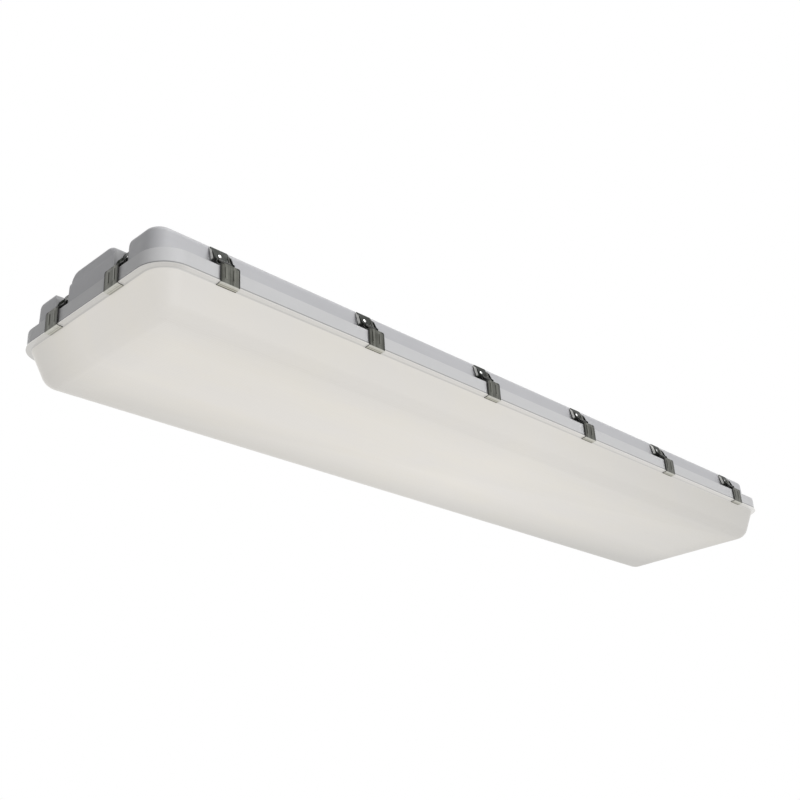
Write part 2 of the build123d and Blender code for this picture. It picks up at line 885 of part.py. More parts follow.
def build_strap(x):
    """Ceiling bracket: web against the ceiling, two legs and two feet with weld nuts."""
    web_line = -strap_sheet / 2
    leg_line = (strap_web - strap_sheet) / 2
    foot_line = body_height - joint_depth + strap_sheet / 2
    foot_end = strap_web / 2 + strap_foot
    with BuildPart() as strap:
        with BuildSketch(Plane.YZ.offset(x)):
            with BuildLine():
                FilletPolyline(
                    (-foot_end, foot_line),
                    (-leg_line, foot_line),
                    (-leg_line, web_line),
                    (leg_line, web_line),
                    (leg_line, foot_line),
                    (foot_end, foot_line),
                    radius=strap_bend_round,
                )
            trace(line_width=strap_sheet)
        extrude(amount=strap_width / 2, both=True)
        with BuildSketch(level(body_height + strap_sheet)):
            with Locations((x, 0)):
                with GridLocations(0, 2 * strap_foot_y, 1, 2):
                    Circle(weld_nut_radius)
        extrude(amount=weld_nut_height)
        with BuildSketch(level(body_height)):
            with Locations((x, 0)):
                with GridLocations(0, 2 * strap_foot_y, 1, 2):
                    Circle(bolt_radius)
        extrude(amount=strap_sheet + weld_nut_height, mode=Mode.SUBTRACT)
        with BuildSketch(Plane.XY):
            with Locations((x, 0)):
                with GridLocations(0, slot_spacing, 1, 2):
                    SlotOverall(slot_length, 2 * slot_radius)
                with GridLocations(0, rod_hole_spacing, 1, 2):
                    Circle(rod_hole_radius)
        extrude(amount=-strap_sheet, mode=Mode.SUBTRACT)
    return strap.part


def bolt_spots():
    """Places of the bolts that hold the housing to its ceiling brackets."""
    return GridLocations(bracket_spacing, 2 * strap_foot_y, 2, 2)


def build_bracket_bolts():
    """Hexagon bolts, put in from inside the housing."""
    head_level = roof_level - bolt_seal_thickness
    with BuildPart() as bolts:
        with BuildSketch(level(head_level - bolt_head_height)):
            with bolt_spots():
                RegularPolygon(bolt_head_flats / 2, 6, major_radius=False)
        extrude(amount=bolt_head_height)
        with BuildSketch(level(head_level)):
            with bolt_spots():
                Circle(bolt_radius)
        extrude(amount=bolt_seal_thickness + wall + strap_sheet + weld_nut_height)
    return bolts.part


def build_bolt_seals():
    """Sealing washers under the bolt heads."""
    with BuildPart() as seals:
        with BuildSketch(level(roof_level - bolt_seal_thickness)):
            with bolt_spots():
                Circle(bolt_seal_radius)
                Circle(bolt_radius, mode=Mode.SUBTRACT)
        extrude(amount=bolt_seal_thickness)
    return seals.part


def build_hub():
    """Conduit hub: neck through the end wall, hexagon, and an entry for the conduit."""
    body_start = hub_face + hub_seal_thickness
    body_end = body_start + hub_body_length
    neck_end = hub_back - locknut_thickness - hub_neck_spare
    with BuildPart() as hub:
        with BuildSketch(on_hub(neck_end)):
            Circle(hub_neck_radius)
        extrude(amount=body_start - neck_end)
        with BuildSketch(on_hub(body_start)):
            RegularPolygon(hub_hex_flats / 2, 6, major_radius=False)
        extrude(amount=hub_hex_length)
        with BuildSketch(on_hub(body_start)):
            Circle(hub_body_radius)
        extrude(amount=hub_body_length)
        with BuildSketch(on_hub(neck_end)):
            Circle(hub_way_radius)
        extrude(amount=body_end - neck_end, mode=Mode.SUBTRACT)
        with BuildSketch(on_hub(body_end)):
            Circle(hub_entry_radius)
        extrude(amount=-hub_entry_depth, mode=Mode.SUBTRACT)
    return hub.part


def build_hub_gasket():
    """Flat seal between the hub and the end wall."""
    with BuildPart() as seal:
        with BuildSketch(on_hub(hub_face)):
            Circle(hub_seal_radius)
            Circle(hub_neck_radius, mode=Mode.SUBTRACT)
        extrude(amount=hub_seal_thickness)
    return seal.part


def build_locknut():
    """Nut on the hub's neck inside the housing."""
    with BuildPart() as nut:
        with BuildSketch(on_hub(hub_back)):
            RegularPolygon(locknut_flats / 2, 6, major_radius=False)
            Circle(hub_neck_radius, mode=Mode.SUBTRACT)
        extrude(amount=-locknut_thickness)
    return nut.part


write(build_housing(), "housing")
write(build_gasket(), "housing_gasket")
write(build_lens(), "lens")
write_latches()
write(build_tray(), "gear_tray")
write(build_tray_screws(), "tray_screws")
board = build_board()
for number, spot in enumerate(board_spots().local_locations, start=1):
    write(board.moved(spot), f"led_board_{number}")
write(build_led_packages(), "led_packages")
write(build_connectors(), "board_connectors")
write(build_board_screws(), "board_screws")
driver = build_driver()
for number, spot in enumerate(GridLocations(driver_spacing, 0, 2, 1).local_locations, start=1):
    write(driver.moved(spot), f"led_driver_{number}")
write(build_driver_screws(), "driver_screws")
write(build_terminal_block(), "terminal_block")
write(build_supply_wires(), "supply_wires")
write(build_led_wires(), "led_wires")
write(build_strap(-bracket_spacing / 2), "mounting_bracket_1")
write(build_strap(bracket_spacing / 2), "mounting_bracket_2")
write(build_bracket_bolts(), "bracket_bolts")
write(build_bolt_seals(), "bracket_seals")
write(build_hub(), "conduit_hub")
write(build_hub_gasket(), "hub_gasket")
write(build_locknut(), "hub_locknut")
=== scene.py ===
import json
from math import cos, pi, radians, sin

import bmesh
import bpy
from mathutils import Matrix, Vector


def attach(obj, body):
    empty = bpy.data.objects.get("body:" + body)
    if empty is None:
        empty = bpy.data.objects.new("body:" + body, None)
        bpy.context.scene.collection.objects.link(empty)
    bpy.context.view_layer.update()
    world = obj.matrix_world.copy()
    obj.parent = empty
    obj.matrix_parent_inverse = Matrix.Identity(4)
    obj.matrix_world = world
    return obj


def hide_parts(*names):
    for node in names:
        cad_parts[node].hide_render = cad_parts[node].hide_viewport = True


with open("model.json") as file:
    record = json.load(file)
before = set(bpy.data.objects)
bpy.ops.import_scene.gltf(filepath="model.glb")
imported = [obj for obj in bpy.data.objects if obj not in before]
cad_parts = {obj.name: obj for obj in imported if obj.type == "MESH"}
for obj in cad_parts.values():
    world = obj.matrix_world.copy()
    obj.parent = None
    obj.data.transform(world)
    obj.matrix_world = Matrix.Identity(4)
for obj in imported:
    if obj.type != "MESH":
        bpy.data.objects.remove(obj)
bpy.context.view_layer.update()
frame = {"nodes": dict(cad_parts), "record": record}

# Looks of the vapor tight ceiling light. Lengths are metres in the model's own frame:
# X along the fixture, Y across it, Z up to the ceiling plane at Z = 0.

nodes = frame["nodes"]
subparts = frame["record"]["subparts"]
MM = 0.001

# Measures of the CAD that finishes and small parts are placed by.
JOINT = -76 * MM  # the plane where the rim band meets the flange of the lens
HALF_LENGTH = 645 * MM
HALF_WIDTH = 142.5 * MM
RIM_CORNER = 36 * MM
RIM_HEIGHT = 18 * MM
SCOOPS = 95 * MM  # half the width over both scoops of an end
LENS_DEPTH = 49 * MM
LENS_RIB_PITCH = 3.2 * MM
BOARD_ROW = 56 * MM  # middle of the LED boards on each side of the middle line
TRACK_PITCH = 9 * MM  # copper bands of a board
LATCHES = range(1, 17)
SIDE_LATCHES = 6
LATCH_HALF_PITCH = 111 * MM  # along a side
END_LATCH = 59.5 * MM  # latches of an end, on each side of the middle line
END_ZONE = 35 * MM  # what is nearer than this to an end belongs to an end latch
PIN_INSET = 7 * MM
PIN_HEIGHT = 22.2 * MM
LEVER_INSET = 13 * MM  # foot of the lever's plate: how far in from the rim's outline
LEVER_FOOT = 27 * MM  # and how far above the joint
LEVER_LEAN = 6.0 / 24.5  # inwards for each step up

# Copies of CAD meshes: points this near become one, and so do faces this level.
MERGE = 0.002 * MM
LEVEL = radians(0.4)

# Edges softer than these angles stay unbevelled or are shaded as one surface.
BEVEL_ANGLE = radians(30)
CAD_SHARP = radians(32)
GROWN_SHARP = radians(35)

# Threads of screws and bolts, in millimetres, and the root's share of the radius of a screw.
THREAD_PITCH = 0.9
THREAD_ROOT = 0.82
SCREW_TIP = 0.4

BLACK = (0.0, 0.0, 0.0)
WHITE = (1.0, 1.0, 1.0)


class Signal:
    """A value in a shader; Python's operators on it add Math nodes."""

    def __init__(self, finish, socket):
        self.finish = finish
        self.socket = socket

    def combine(self, operation, other, swapped=False):
        first, second = (other, self) if swapped else (self, other)
        return self.finish.math(operation, first, second)

    def __add__(self, other):
        return self.combine("ADD", other)

    def __sub__(self, other):
        return self.combine("SUBTRACT", other)

    def __rsub__(self, other):
        return self.combine("SUBTRACT", other, swapped=True)

    def __mul__(self, other):
        return self.combine("MULTIPLY", other)

    def __pow__(self, other):
        return self.combine("POWER", other)

    def __abs__(self):
        return self.combine("ABSOLUTE", 0.0)

    def __gt__(self, other):
        return self.combine("GREATER_THAN", other)

    def __lt__(self, other):
        return self.combine("LESS_THAN", other)


class Finish:
    """A material in the making: one Principled shader and the nodes that feed it."""

    def __init__(self, name, metallic=0.0, roughness=0.5, **fixed):
        self.material = bpy.data.materials.new(name)
        self.material.use_nodes = True
        self.tree = self.material.node_tree
        self.tree.nodes.clear()
        self.shader = self.tree.nodes.new("ShaderNodeBsdfPrincipled")
        output = self.tree.nodes.new("ShaderNodeOutputMaterial")
        self.tree.links.new(self.shader.outputs[0], output.inputs[0])
        self.set(Metallic=metallic, Roughness=roughness, **fixed)
        self.spot = self.add("ShaderNodeTexCoord", out=3)

    def add(self, kind, settings=None, inputs=None, out=0):
        """Any node: its settings first, then the values or links of its sockets."""
        node = self.tree.nodes.new(kind)
        for name, value in (settings or {}).items():
            setattr(node, name, value)
        for key, value in (inputs or {}).items():
            self.feed(node.inputs[key], value)
        return Signal(self, node.outputs[out])

    def feed(self, socket, value):
        """A link from a signal, or else a constant."""
        if isinstance(value, Signal):
            self.tree.links.new(value.socket, socket)
        elif isinstance(value, tuple) and len(value) == 3 and socket.type == "RGBA":
            socket.default_value = (*value, 1.0)
        else:
            socket.default_value = value

    def set(self, **sockets):
        """Values or links of the shader's own sockets."""
        for name, value in sockets.items():
            self.feed(self.shader.inputs[name.replace("_", " ")], value)
        return self

    def math(self, operation, first, second):
        return self.add("ShaderNodeMath", {"operation": operation}, {0: first, 1: second})

    def most(self, first, second):
        return self.math("MAXIMUM", first, second)

    def least(self, first, second):
        return self.math("MINIMUM", first, second)

    def part(self, vector, letter):
        """One component of a vector."""
        return self.add("ShaderNodeSeparateXYZ", inputs={0: vector}, out="XYZ".index(letter))

    def at(self, letter):
        """Place along one axis of the model."""
        return self.part(self.spot, letter)

    def facing(self, letter):
        """One component of the true surface normal."""
        return self.part(self.add("ShaderNodeNewGeometry", out=3), letter)

    def spread(self, value, low, high, to_low=0.0, to_high=1.0):
        """A stretch of a value mapped to another, and held at its ends."""
        inputs = {0: value, 1: low, 2: high, 3: to_low, 4: to_high}
        return self.add("ShaderNodeMapRange", {"clamp": True}, inputs)

    def above(self, low, high, to_low=0.0, to_high=1.0):
        """The same, between two heights over the joint."""
        return self.spread(self.at("Z"), JOINT + low, JOINT + high, to_low, to_high)

    def tint(self, share, first, second):
        """Mix of two colours."""
        inputs = {0: share, 6: first, 7: second}
        return self.add("ShaderNodeMix", {"data_type": "RGBA"}, inputs, out=2)

    def stretched(self, x, y, z):
        """Object coordinates, scaled along each axis."""
        return self.add("ShaderNodeMapping", inputs={"Vector": self.spot, "Scale": (x, y, z)})

    def noise(self, vector, scale, detail=2.0, rough=0.5):
        inputs = {"Vector": vector, "Scale": scale, "Detail": detail, "Roughness": rough}
        return self.add("ShaderNodeTexNoise", inputs=inputs)

    def sine(self, letter, pitch):
        """Waves along one axis of the model."""
        return self.math("SINE", self.at(letter) * (2 * pi / pitch), 0.0)

    def bump(self, height, strength, distance):
        inputs = {"Height": height, "Strength": strength, "Distance": distance}
        return self.add("ShaderNodeBump", inputs=inputs)

    def from_latch(self, letter, half_pitch):
        """Distance along an axis from the middle of the nearest latch of an even row."""
        return half_pitch - self.math("PINGPONG", self.at(letter), half_pitch)

    def inside_rim(self):
        """Distance inwards from the outline of the rim, seen from above."""
        past_x = abs(self.at("X")) - (HALF_LENGTH - RIM_CORNER)
        past_y = abs(self.at("Y")) - (HALF_WIDTH - RIM_CORNER)
        beyond = (self.most(past_x, 0.0) ** 2.0 + self.most(past_y, 0.0) ** 2.0) ** 0.5
        return RIM_CORNER - beyond - self.least(self.most(past_x, past_y), 0.0)


def moulded_polyester():
    """Light grey glass-filled moulding: satin, faintly mottled, with flow lines along it."""
    finish = Finish("moulded_polyester", roughness=0.45, Specular_IOR_Level=0.4)
    cloud = finish.noise(finish.stretched(1.0, 2.5, 2.5), 9.0, 4.0)
    flow = finish.noise(finish.stretched(3.0, 60.0, 60.0), 2.0, 3.0)
    fibre = finish.noise(finish.stretched(0.6, 1.0, 1.0), 900.0, 2.0, 0.7)
    tone = finish.spread(cloud * 0.5 + flow * 0.25 + fibre * 0.25, 0.3, 0.7)
    colour = finish.tint(tone, (0.485, 0.487, 0.505), (0.545, 0.545, 0.562))

    # Painted light: the rim band is lighter than the body over it, where it catches more of the
    # light.
    rim = finish.above(RIM_HEIGHT, RIM_HEIGHT + 0.5 * MM, 1.0, 0.0)
    colour = finish.tint(rim * 0.7, colour, (0.66, 0.66, 0.662))

    # The side faces of the scoops for the end latches lie in shade.
    x, y = abs(finish.at("X")), abs(finish.at("Y"))
    end_zone = finish.spread(x, HALF_LENGTH - 32 * MM, HALF_LENGTH - 26 * MM)
    scoop = end_zone * (y < SCOOPS) * finish.spread(abs(finish.facing("Y")), 0.3, 0.9)
    colour = finish.tint(scoop * 0.8, colour, (0.27, 0.27, 0.275))

    # Painted highlight: the round corners are lighter, most of all on the rim band, where they
    # catch light.
    corner_x = finish.spread(x, HALF_LENGTH - RIM_CORNER, HALF_LENGTH)
    corner = corner_x * finish.spread(y, HALF_WIDTH - RIM_CORNER, HALF_WIDTH)
    colour = finish.tint(corner * (rim * 0.8 + 0.28), colour, (0.85, 0.85, 0.86))

    # Painted shadow: a dark line along the joint, where the gap at the gasket lies in shade.
    gasket_shadow = finish.above(1.2 * MM, 2.0 * MM, 1.0, 0.0)
    colour = finish.tint(gasket_shadow * 0.8, colour, (0.20, 0.20, 0.205))

    grain = finish.noise(finish.spot, 1500.0, 3.0, 0.6)
    rough = finish.spread(cloud + fibre * 0.4, 0.45, 0.95, 0.38, 0.52)
    relief = finish.bump(grain + flow * 0.6, 0.12, 0.12 * MM)
    return finish.set(Base_Color=colour, Roughness=rough, Normal=relief).material


def frosted_lens():
    """Frosted diffuser with a painted glow, as if softly lit from inside: fine ribs at its foot,
    a glossy flange.
    """
    finish = Finish("frosted_lens", roughness=0.4, Specular_IOR_Level=0.38,
                    Coat_Roughness=0.12, Emission_Strength=0.60)
    x, y, z = (finish.at(letter) for letter in "XYZ")

    # Warmer in clouds and over the two rows of boards.
    row = finish.spread(abs(abs(y) - BOARD_ROW), 14 * MM, 60 * MM, 1.0, 0.0)
    patch = finish.noise(finish.stretched(1.0, 2.2, 1.0), 11.0, 3.0)
    warm = finish.spread(patch, 0.42, 0.66) * 0.55 + row * 0.35
    body = finish.tint(warm, (0.200, 0.197, 0.188), (0.208, 0.203, 0.185))
    glow = finish.tint(warm, (0.985, 0.947, 0.898), (1.0, 0.955, 0.878))

    # Ribs where the walls round into the flat bottom.
    wave = finish.sine("Y", LENS_RIB_PITCH)
    streak = finish.noise(finish.stretched(2.0, 160.0, 1.0), 3.0, 2.0)
    lowest = z < JOINT - LENS_DEPTH + 9 * MM
    foot = finish.spread(finish.facing("Z"), -0.97, -0.85, 1.0, 0.0) * lowest
    rib = finish.spread(wave * 0.5 + streak, 0.0, 1.1) * foot

    # Painted shade on the glow: dimmer near the outline, on the side walls and the wall at +X,
    # and towards +X and +Y.
    inset = finish.inside_rim()
    edge = finish.spread(inset, 20 * MM, 80 * MM, 1.0, 0.0)
    side = finish.spread(abs(finish.facing("Y")), 0.1, 0.95)
    end = finish.spread(finish.facing("X"), 0.1, 0.95)
    far = finish.spread(x, 0.0, HALF_LENGTH)
    lee = finish.spread(y, 22 * MM, 98 * MM)
    shade = edge * 0.18 + side * 0.08 + end * 0.42 + far * 0.62 + rib * 0.1 + lee * 0.4
    glow = finish.tint(shade, glow, (0.60, 0.585, 0.555))

    # Painted shade: the flange glows less than the rest, least at the end at -X and along its
    # inner crease.
    flange = finish.above(-4.0 * MM, -2.2 * MM)
    glow = finish.tint(flange * 0.8, glow, (0.76, 0.745, 0.72))
    near_end = finish.spread(x, 25 * MM - HALF_LENGTH, 40 * MM - HALF_LENGTH, 1.0, 0.0)
    glow = finish.tint(flange * near_end * 0.16, glow, BLACK)
    crease = finish.spread(inset, 4.6 * MM, 5.2 * MM) * finish.above(-3.4 * MM, -2.8 * MM)
    glow = finish.tint(crease * 0.35, glow, (0.38, 0.38, 0.37))

    satin = finish.noise(finish.spot, 1200.0, 2.0, 0.6)
    rough = finish.spread(satin, 0.3, 0.7, 0.36, 0.46) - flange * 0.24
    relief = finish.bump(wave * foot * 0.6 + satin * 0.25, 0.3, 0.12 * MM)
    finish.set(Base_Color=body, Emission_Color=glow, Roughness=rough)
    return finish.set(Coat_Weight=flange * 0.6, Normal=relief).material


def plate_light_and_shade(finish, colour):
    """Hook plate: painted reflection on the lip with a dark outline, painted highlights on the
    beads, painted shadow on the neck, and dark side borders.
    """
    out_x = abs(finish.at("X")) - HALF_LENGTH
    out_y = abs(finish.at("Y")) - HALF_WIDTH
    at_end = out_x > -END_ZONE

    # Painted reflection: the underside of the lip is pale, dark at its brink and along one line;
    # fainter at the ends.
    below = finish.spread(finish.facing("Z"), -0.75, -0.35, 1.0, 0.0)
    colour = finish.tint(below * 0.9, colour, (0.66, 0.655, 0.60))
    out = finish.most(out_x, out_y)
    brink = finish.spread(out, -4.3 * MM, -3.7 * MM, 1.0, 0.0)
    crease = (out > -2.6 * MM) * (out < -1.6 * MM) * 0.6
    outline = (brink + crease) * below * (0.95 - at_end * 0.5)
    colour = finish.tint(outline, colour, (0.12, 0.12, 0.085))

    # Painted highlight: two pale beads along the plate.
    along_side = finish.from_latch("X", LATCH_HALF_PITCH) * (1.0 - at_end)
    along = along_side + finish.from_latch("Y", END_LATCH) * at_end
    bead_highlight = finish.spread(abs(along - 5.5 * MM), 0.9 * MM, 1.3 * MM, 0.16, 0.0)
    colour = finish.tint(bead_highlight, colour, (0.42, 0.42, 0.38))

    # Painted shadow on the neck over the plate, then dark borders of the plate and of its
    # shoulders.
    neck_shadow = finish.above(21.8 * MM, 23.5 * MM)
    colour = finish.tint(neck_shadow * 0.8, colour, (0.040, 0.040, 0.042))
    shoulder = (along > 8.6 * MM) * (finish.at("Z") > JOINT + 19.6 * MM)
    border = (finish.spread(along, 11.0 * MM, 11.6 * MM) + shoulder) * (1.0 - below)
    return finish.tint(border * 0.8, colour, (0.022, 0.022, 0.020))


def lever_light_and_shade(finish, colour):
    """Lever: a pale strip of painted highlight on the ears of the side latches and a black
    painted shadow at the foot of all.
    """
    out_x = abs(finish.at("X")) - HALF_LENGTH
    out_y = abs(finish.at("Y")) - HALF_WIDTH
    # Painted highlight: a pale strip on the lit face of the ears, near the plate, on the side
    # latches only.
    rise = finish.at("Z") - JOINT - LEVER_FOOT
    off_plate = rise * LEVER_LEAN + LEVER_INSET + out_y
    strip = (out_x < -END_ZONE) * (off_plate < 2.6 * MM) * finish.above(32 * MM, 34 * MM)
    ear = finish.spread(abs(finish.facing("X")), 0.8, 0.95)
    colour = finish.tint(ear * strip * 0.85, colour, (0.80, 0.80, 0.76))
    # Painted shadow: the foot of the lever is black.
    foot = finish.above(29.5 * MM, 31 * MM, 1.0, 0.0)
    return finish.tint(foot * 0.9, colour, (0.006, 0.006, 0.006))


def stainless_sheet(name, dark, light, metallic=1.0, specular=0.5, painted_marks=None):
    """Mill-finish stainless strip: rolling bands, dull patches, scratches and any painted light
    and shade that a given function adds.
    """
    finish = Finish(name, metallic=metallic, roughness=0.38, Specular_IOR_Level=specular)
    band = finish.noise(finish.stretched(1.0, 1.0, 0.02), 310.0, 2.0, 0.6)
    grain = finish.noise(finish.stretched(1.0, 1.0, 0.04), 2600.0, 3.0, 0.7)
    patch = finish.noise(finish.spot, 70.0, 4.0, 0.6)
    scratch = finish.noise(finish.stretched(0.12, 0.12, 1.0), 1800.0, 2.0, 0.8)
    tone = band * 0.45 + grain * 0.2 + patch * 0.2 + scratch * 0.15
    colour = finish.tint(finish.spread(tone, 0.38, 0.62), dark, light)
    if painted_marks:
        colour = painted_marks(finish, colour)
    rough = finish.spread(patch + grain * 0.5, 0.5, 1.0, 0.28, 0.46)
    relief = finish.bump(grain + scratch * 0.4, 0.25, 0.05 * MM)
    return finish.set(Base_Color=colour, Roughness=rough, Normal=relief).material


def polished_steel():
    """Bright turned steel with fine wear."""
    finish = Finish("polished_steel", metallic=1.0, roughness=0.12)
    wear = finish.noise(finish.spot, 1900.0, 3.0, 0.6)
    colour = finish.tint(finish.spread(wear, 0.35, 0.7), (0.86, 0.86, 0.85), (0.93, 0.93, 0.92))
    rough = finish.spread(wear, 0.3, 0.7, 0.08, 0.18)
    return finish.set(Base_Color=colour, Roughness=rough).material


def zinc_plate(name, dark, light):
    """Bright zinc on small steel parts, clouded and a little stained."""
    finish = Finish(name, metallic=1.0, roughness=0.35)
    cloud = finish.noise(finish.spot, 260.0, 4.0, 0.65)
    speck = finish.noise(finish.spot, 2400.0, 2.0, 0.5)
    colour = finish.tint(finish.spread(cloud, 0.35, 0.7), dark, light)
    rough = finish.spread(cloud + speck * 0.3, 0.45, 0.85, 0.25, 0.5)
    relief = finish.bump(speck, 0.15, 0.04 * MM)
    return finish.set(Base_Color=colour, Roughness=rough, Normal=relief).material


def cast_metal():
    """Die-cast hub metal: sand-dull skin with soft flow marks."""
    finish = Finish("cast_hub_metal", metallic=1.0, roughness=0.5)
    skin = finish.noise(finish.spot, 900.0, 4.0, 0.7)
    flow = finish.spread(finish.noise(finish.spot, 90.0, 3.0), 0.35, 0.65)
    colour = finish.tint(flow, (0.40, 0.405, 0.41), (0.52, 0.52, 0.525))
    rough = finish.spread(skin, 0.3, 0.7, 0.42, 0.6)
    relief = finish.bump(skin, 0.4, 0.12 * MM)
    return finish.set(Base_Color=colour, Roughness=rough, Normal=relief).material


def sealing_foam():
    """Dark closed-cell foam with an open skin."""
    finish = Finish("sealing_foam", roughness=0.9, Specular_IOR_Level=0.25)
    cells = finish.add("ShaderNodeTexVoronoi", inputs={"Vector": finish.spot, "Scale": 1600.0})
    cloud = finish.spread(finish.noise(finish.spot, 120.0, 3.0), 0.3, 0.7)
    colour = finish.tint(cloud, (0.030, 0.031, 0.033), (0.060, 0.061, 0.064))
    return finish.set(Base_Color=colour, Normal=finish.bump(cells, 0.5, 0.15 * MM)).material


def sealing_rubber():
    """Black rubber with bloom."""
    finish = Finish("sealing_rubber", roughness=0.65, Specular_IOR_Level=0.35)
    bloom = finish.noise(finish.spot, 240.0, 4.0, 0.6)
    tone = finish.spread(bloom, 0.4, 0.7)
    colour = finish.tint(tone, (0.022, 0.022, 0.024), (0.055, 0.055, 0.058))
    rough = finish.spread(bloom, 0.3, 0.7, 0.55, 0.75)
    relief = finish.bump(bloom, 0.2, 0.1 * MM)
    return finish.set(Base_Color=colour, Roughness=rough, Normal=relief).material


def enamel(name, dark, light):
    """Baked enamel on sheet steel, with orange peel."""
    finish = Finish(name, roughness=0.35, Coat_Weight=0.25, Coat_Roughness=0.2)
    peel = finish.noise(finish.spot, 420.0, 2.0)
    cloud = finish.noise(finish.spot, 14.0, 3.0)
    colour = finish.tint(finish.spread(cloud, 0.35, 0.65), dark, light)
    rough = finish.spread(peel, 0.3, 0.7, 0.3, 0.4)
    relief = finish.bump(peel, 0.18, 0.1 * MM)
    return finish.set(Base_Color=colour, Roughness=rough, Normal=relief).material


def solder_mask():
    """White board: solder mask over faint copper bands."""
    finish = Finish("solder_mask", roughness=0.3)
    track = finish.spread(finish.sine("Y", TRACK_PITCH), 0.55, 0.65)
    weave = finish.noise(finish.spot, 1400.0, 2.0)
    colour = finish.tint(track * 0.5 + weave * 0.2, (0.80, 0.80, 0.79), (0.72, 0.73, 0.70))
    relief = finish.bump(track + weave * 0.2, 0.4, 0.05 * MM)
    return finish.set(Base_Color=colour, Normal=relief).material


def nylon():
    """White nylon: fine spark-eroded grain, slightly cloudy."""
    finish = Finish("white_nylon", roughness=0.5)
    grain = finish.noise(finish.spot, 1800.0, 2.0, 0.6)
    cloud = finish.spread(finish.noise(finish.spot, 90.0, 2.0), 0.3, 0.7)
    colour = finish.tint(cloud, (0.76, 0.75, 0.71), (0.82, 0.81, 0.78))
    return finish.set(Base_Color=colour, Normal=finish.bump(grain, 0.25, 0.08 * MM)).material


def light_source():
    """Small white package with a yellow phosphor window sunk in its face."""
    finish = Finish("light_source", roughness=0.35)
    grain = finish.noise(finish.spot, 3000.0, 2.0, 0.6)
    sunk = finish.at("Z") > JOINT + 9.75 * MM
    window = finish.spread(finish.facing("Z"), -0.9, -0.6, 1.0, 0.0) * sunk
    colour = finish.tint(window * 0.9 + grain * 0.1, (0.80, 0.80, 0.78), (0.82, 0.66, 0.16))
    return finish.set(Base_Color=colour, Normal=finish.bump(grain, 0.3, 0.05 * MM)).material


def wire_sheath(name, dark, light):
    """Smooth insulation with scuffs along it."""
    finish = Finish(name, roughness=0.4)
    scuff = finish.noise(finish.stretched(0.3, 1.0, 1.0), 500.0, 3.0, 0.6)
    colour = finish.tint(finish.spread(scuff, 0.35, 0.7), dark, light)
    rough = finish.spread(scuff, 0.3, 0.7, 0.34, 0.5)
    relief = finish.bump(scuff, 0.1, 0.05 * MM)
    return finish.set(Base_Color=colour, Roughness=rough, Normal=relief).material


finishes = {
    "housing_moulding": moulded_polyester(),
    "lens_plastic": frosted_lens(),
    "stainless": stainless_sheet(
        "stainless_sheet", (0.062, 0.063, 0.054), (0.180, 0.182, 0.163), painted_marks=plate_light_and_shade),
    "lever_steel": stainless_sheet(
        "lever_stainless", (0.014, 0.016, 0.014), (0.034, 0.037, 0.032), 0.85, 0.25, lever_light_and_shade),
    "polished_steel": polished_steel(),
    "bracket_steel": stainless_sheet("bracket_stainless", (0.42, 0.42, 0.41), (0.55, 0.55, 0.54)),
    "zinc_steel": zinc_plate("zinc_plate", (0.45, 0.46, 0.47), (0.62, 0.62, 0.61)),
    "cast_zinc": cast_metal(),
    "seal_foam": sealing_foam(),
    "seal_rubber": sealing_rubber(),
    "white_enamel": enamel("white_enamel", (0.78, 0.78, 0.77), (0.84, 0.84, 0.83)),
    "driver_case": enamel("driver_case", (0.66, 0.67, 0.68), (0.73, 0.73, 0.74)),
    "white_board": solder_mask(),
    "white_nylon": nylon(),
    "led_phosphor": light_source(),
    "wire_sheath": wire_sheath("wire_sheath", (0.030, 0.031, 0.034), (0.075, 0.076, 0.08)),
}

for part in subparts:
    for place in nodes[part["node"]].material_slots:
        place.material = finishes[part["material_slot"]]


def placed(name, data):
    """A new object in the scene."""
    thing = bpy.data.objects.new(name, data)
    bpy.context.scene.collection.objects.link(thing)
    return thing


def shade_smooth(mesh):
    for face in mesh.polygons:
        face.use_smooth = True


def evaluated_mesh(thing):
    """A plain mesh of an object with its modifiers applied."""
    graph = bpy.context.evaluated_depsgraph_get()
    return bpy.data.meshes.new_from_object(thing.evaluated_get(graph))


def dressed(node, finish, body, edge):
    """A merged copy of a CAD node with softened edges, which stands for it."""
    mesh = nodes[node].data.copy()
    made = bmesh.new()
    made.from_mesh(mesh)
    bmesh.ops.remove_doubles(made, verts=made.verts, dist=MERGE)
    bmesh.ops.dissolve_limit(made, angle_limit=LEVEL, verts=made.verts, edges=made.edges)
    made.to_mesh(mesh)
    made.free()
    mesh.materials.clear()
    mesh.materials.append(finishes[finish])
    piece = placed(f"{node}_finished", mesh)
    soften = piece.modifiers.new("edges", "BEVEL")
    soften.width = edge
    soften.segments = 2
    soften.limit_method = "ANGLE"
    soften.angle_limit = BEVEL_ANGLE
    shade_smooth(mesh)
    mesh.set_sharp_from_angle(angle=CAD_SHARP)
    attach(piece, body)
    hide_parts(node)


dressed("housing", "housing_moulding", "fixture", 0.8 * MM)
dressed("lens", "lens_plastic", "fixture", 0.5 * MM)
for number in LATCHES:
    hook, lever = f"hook_{number:02d}", f"lever_{number:02d}"
    dressed(f"latch_{hook}", "stainless", hook, 0.2 * MM)
    dressed(f"latch_{lever}", "lever_steel", lever, 0.2 * MM)
for number in (1, 2):
    dressed(f"mounting_bracket_{number}", "bracket_steel", "fixture", 0.3 * MM)


